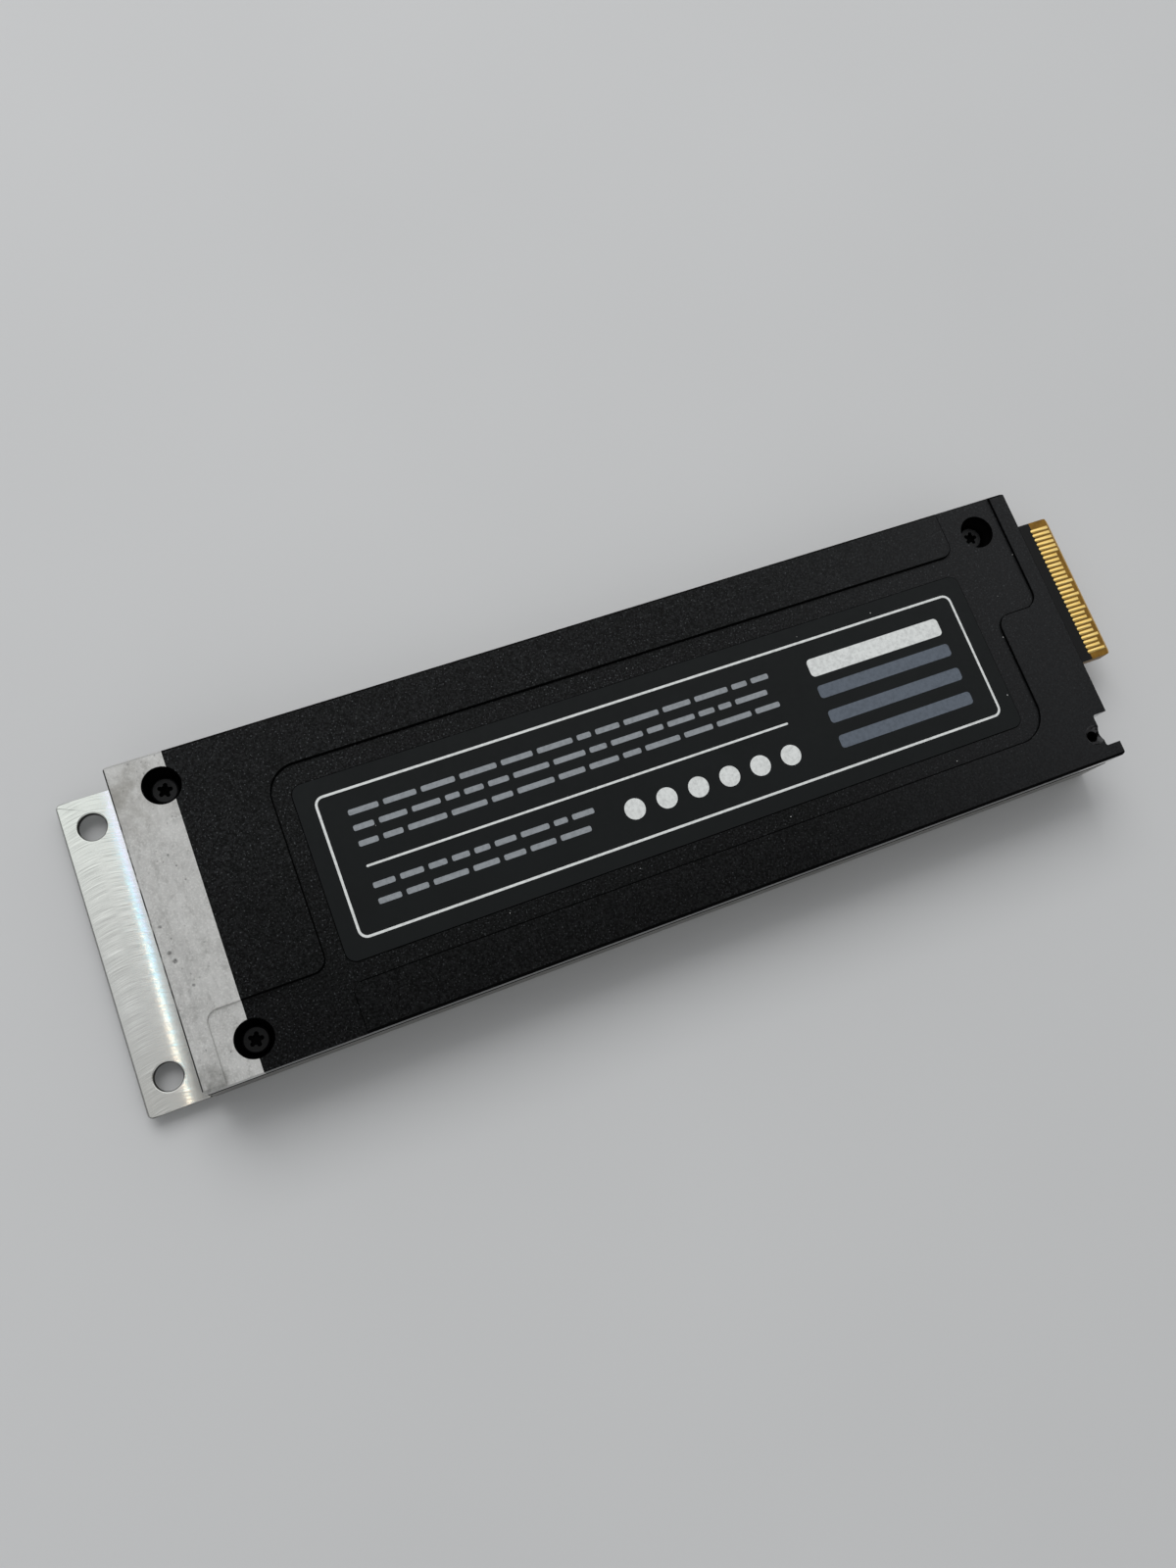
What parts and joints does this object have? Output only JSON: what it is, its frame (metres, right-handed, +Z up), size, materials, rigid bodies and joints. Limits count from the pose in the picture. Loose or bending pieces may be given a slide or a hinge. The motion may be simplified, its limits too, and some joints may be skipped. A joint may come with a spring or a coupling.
{
  "type": "ruler ssd module",
  "caption": "Slim ruler-shaped solid-state storage module: black stepped cover on a bare metal tray, holed front flange, keying notch and gold edge connector.",
  "frame": {"origin": "bottom centre of the module's bounding box", "axes": "+X along the module towards the edge connector, +Y across it, +Z up through the cover"},
  "size_m": [0.1188, 0.0338, 0.0095],
  "materials": {
    "black_coating": "fine-grained satin black coating",
    "bare_aluminium": "bare milled metal",
    "black_screw": "black oxide",
    "label_film": "satin film",
    "board_laminate": "black solder mask",
    "gold_plating": "gold plated",
    "chip_epoxy": "moulded epoxy",
    "ferrite": "pressed powder",
    "capacitor_case": "moulded case",
    "ceramic": "fired ceramic",
    "crystal_can": "plated can",
    "light_lens": "clear moulded lens",
    "thermal_pad": "soft filled silicone"
  },
  "bodies": {
    "root": {"top_cover": "black_coating", "base_tray": "bare_aluminium", "cover_screws": "black_screw", "label_sheet": "label_film", "circuit_board": "board_laminate", "contacts_top": "gold_plating", "contacts_bottom": "gold_plating", "controller_chip": "chip_epoxy", "power_chip": "chip_epoxy", "ceramic_capacitors": "ceramic", "clock_crystal": "crystal_can", "memory_chip_1": "chip_epoxy", "memory_chip_2": "chip_epoxy", "flash_top_1": "chip_epoxy", "flash_top_2": "chip_epoxy", "flash_top_3": "chip_epoxy", "flash_bottom_1": "chip_epoxy", "flash_bottom_2": "chip_epoxy", "flash_bottom_3": "chip_epoxy", "flash_bottom_4": "chip_epoxy", "inductor_1": "ferrite", "inductor_2": "ferrite", "inductor_3": "ferrite", "hold_up_capacitor_1": "capacitor_case", "hold_up_capacitor_2": "capacitor_case", "hold_up_capacitor_3": "capacitor_case", "hold_up_capacitor_4": "capacitor_case", "hold_up_capacitor_5": "capacitor_case", "status_light_1": "light_lens", "status_light_2": "light_lens", "thermal_pad_flash_top": "thermal_pad", "thermal_pad_flash_bottom": "thermal_pad", "thermal_pad_memory": "thermal_pad", "thermal_pad_controller": "thermal_pad"}
  },
  "joints": []
}
